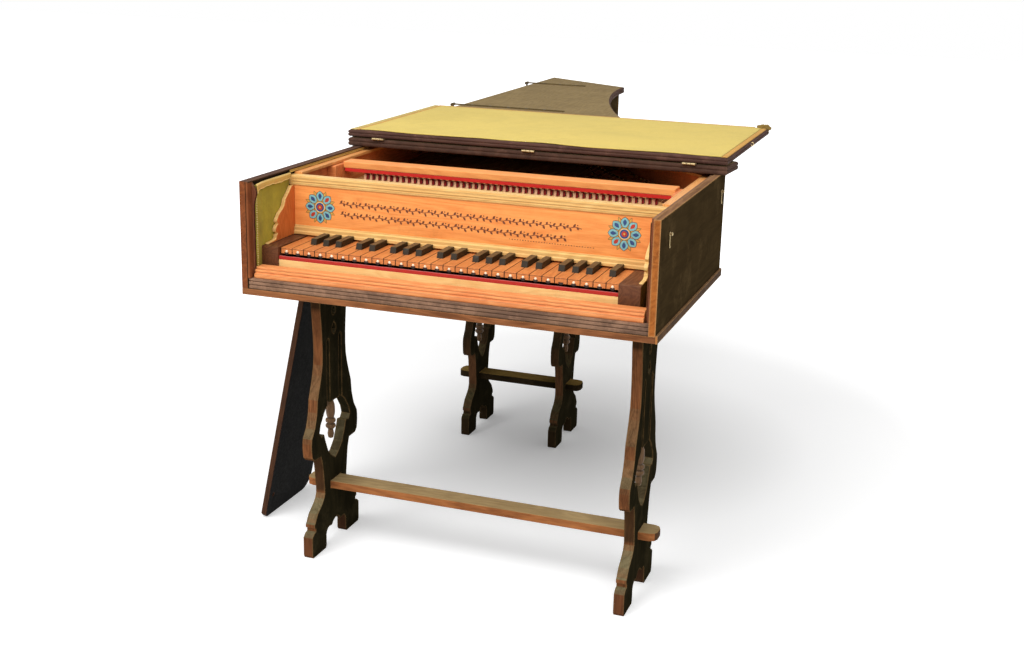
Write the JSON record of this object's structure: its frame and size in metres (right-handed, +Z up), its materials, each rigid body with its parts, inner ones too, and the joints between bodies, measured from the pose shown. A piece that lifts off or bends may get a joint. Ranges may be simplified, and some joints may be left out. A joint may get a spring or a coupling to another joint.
{
  "type": "harpsichord",
  "caption": "Harpsichord: inner instrument in a dark outer case with a curved bentside, folding lid flap and playable keys, on cut-out trestles.",
  "frame": {"origin": "middle of the outer box on the floor", "axes": "+X from the bass side to the treble side, +Y from the keys to the tail, +Z up"},
  "size_m": [0.8928, 1.8854, 0.795],
  "materials": {
    "dark_paint": "dark brown-black paint on wood, worn to bare wood on the edges",
    "lid_paint": "dark purple-brown paint on wood",
    "stained_wood": "dark stained hardwood with worn brown edges",
    "cypress": "warm orange varnished cypress",
    "pale_wood": "pale yellow varnished wood",
    "walnut": "brown walnut, satin",
    "key_wood": "polished boxwood-coloured key tops",
    "sharp_wood": "dark stained hardwood sharps",
    "red_felt": "red wool felt",
    "olive_cloth": "olive green woven cloth with gilt braid",
    "yellow_cloth": "mustard yellow woven cloth with gilt braid",
    "iron": "dark worn iron and dull brass"
  },
  "bodies": {
    "case_and_stand": {"case_bottom": "dark_paint", "case_spine": "dark_paint", "case_cheek": "dark_paint", "case_bentside": "dark_paint", "case_tail": "dark_paint", "case_base_moulding": "stained_wood", "front_band": "dark_paint", "front_lining_bass": "dark_paint", "front_lining_treble": "dark_paint", "lining_cloth_bass": "olive_cloth", "lining_cloth_treble": "olive_cloth", "inner_bottom": "cypress", "inner_spine_side": "cypress", "inner_cheek_side": "cypress", "inner_bentside": "cypress", "inner_tail": "cypress", "cap_moulding": "pale_wood", "scroll_cheek_bass": "pale_wood", "scroll_cheek_treble": "pale_wood", "key_block_bass": "walnut", "key_block_treble": "walnut", "nameboard": "cypress", "nameboard_lower_moulding": "pale_wood", "nameboard_upper_moulding": "pale_wood", "key_slip": "pale_wood", "key_slip_felt": "red_felt", "key_slip_moulding": "cypress", "key_frame": "pale_wood", "wrest_plank": "walnut", "nut": "walnut", "jack_guide": "cypress", "jack_rail": "cypress", "jack_rail_felt": "red_felt", "jack_rail_bracket_bass": "cypress", "jack_rail_bracket_treble": "cypress", "belly_rail": "walnut", "soundboard": "cypress", "bridge": "walnut", "front_leg_bass": "stained_wood", "front_leg_treble": "stained_wood", "rear_leg_bass": "stained_wood", "rear_leg_treble": "stained_wood", "front_stretcher": "walnut", "rear_stretcher": "walnut", "lid_hinge_plate_1": "iron", "lid_hinge_plate_2": "iron", "lid_hinge_plate_3": "iron"},
    "lid": {"lid": "lid_paint", "lid_hinge_strap_1": "iron", "lid_hinge_strap_2": "iron", "lid_hinge_strap_3": "iron"},
    "flap": {"lid_flap": "lid_paint", "flap_cloth": "yellow_cloth"},
    "naturals": {"natural_keys": "key_wood"},
    "sharps": {"sharp_keys": "sharp_wood"},
    "jacks_of_naturals": {"natural_jacks": "pale_wood"},
    "jacks_of_sharps": {"sharp_jacks": "pale_wood"},
    "front_hook": {"front_hook": "iron"},
    "rear_hook": {"rear_hook": "iron"},
    "desk": {"music_desk": "dark_paint"}
  },
  "joints": [
    {"name": "lid_opens", "type": "hinge", "parent": "case_and_stand", "child": "lid", "pos_m": [-0.38865, 0.17232, 0.7763], "axis": [0, -1, 0], "range_deg": [0, 80]},
    {"name": "flap_unfolds", "type": "hinge", "parent": "lid", "child": "flap", "pos_m": [0.03785, -0.46948, 0.77715], "axis": [1, 0, 0], "range_deg": [0, 180]},
    {"name": "naturals_press", "type": "hinge", "parent": "case_and_stand", "child": "naturals", "pos_m": [0.02185, -0.70768, 0.615], "axis": [1, 0, 0], "range_deg": [0, 1.9], "stiffness_Nm_per_rad": 5, "springref_deg": -11.46},
    {"name": "sharps_press", "type": "hinge", "parent": "case_and_stand", "child": "sharps", "pos_m": [0.02185, -0.70768, 0.615], "axis": [1, 0, 0], "range_deg": [0, 1.9], "stiffness_Nm_per_rad": 4, "springref_deg": -11.46},
    {"name": "natural_jacks_rise", "type": "slide", "parent": "case_and_stand", "child": "jacks_of_naturals", "axis": [0, 0, 1], "range_m": [0, 0.0042]},
    {"name": "sharp_jacks_rise", "type": "slide", "parent": "case_and_stand", "child": "jacks_of_sharps", "axis": [0, 0, 1], "range_m": [0, 0.0042]},
    {"name": "front_hook_swings", "type": "hinge", "parent": "case_and_stand", "child": "front_hook", "pos_m": [0.43505, -0.88068, 0.724], "axis": [1, 0, 0], "range_deg": [-90, 180]},
    {"name": "rear_hook_swings", "type": "hinge", "parent": "case_and_stand", "child": "rear_hook", "pos_m": [0.43505, -0.44668, 0.724], "axis": [1, 0, 0], "range_deg": [-90, 180]},
    {"name": "desk_slides_out", "type": "slide", "parent": "case_and_stand", "child": "desk", "axis": [-1, 0, 0], "range_m": [0, 0.3]}
  ],
  "couplings": [
    {"joint": "natural_jacks_rise", "follows": "naturals_press", "m_per_rad": 0.125},
    {"joint": "sharp_jacks_rise", "follows": "sharps_press", "m_per_rad": 0.125}
  ]
}
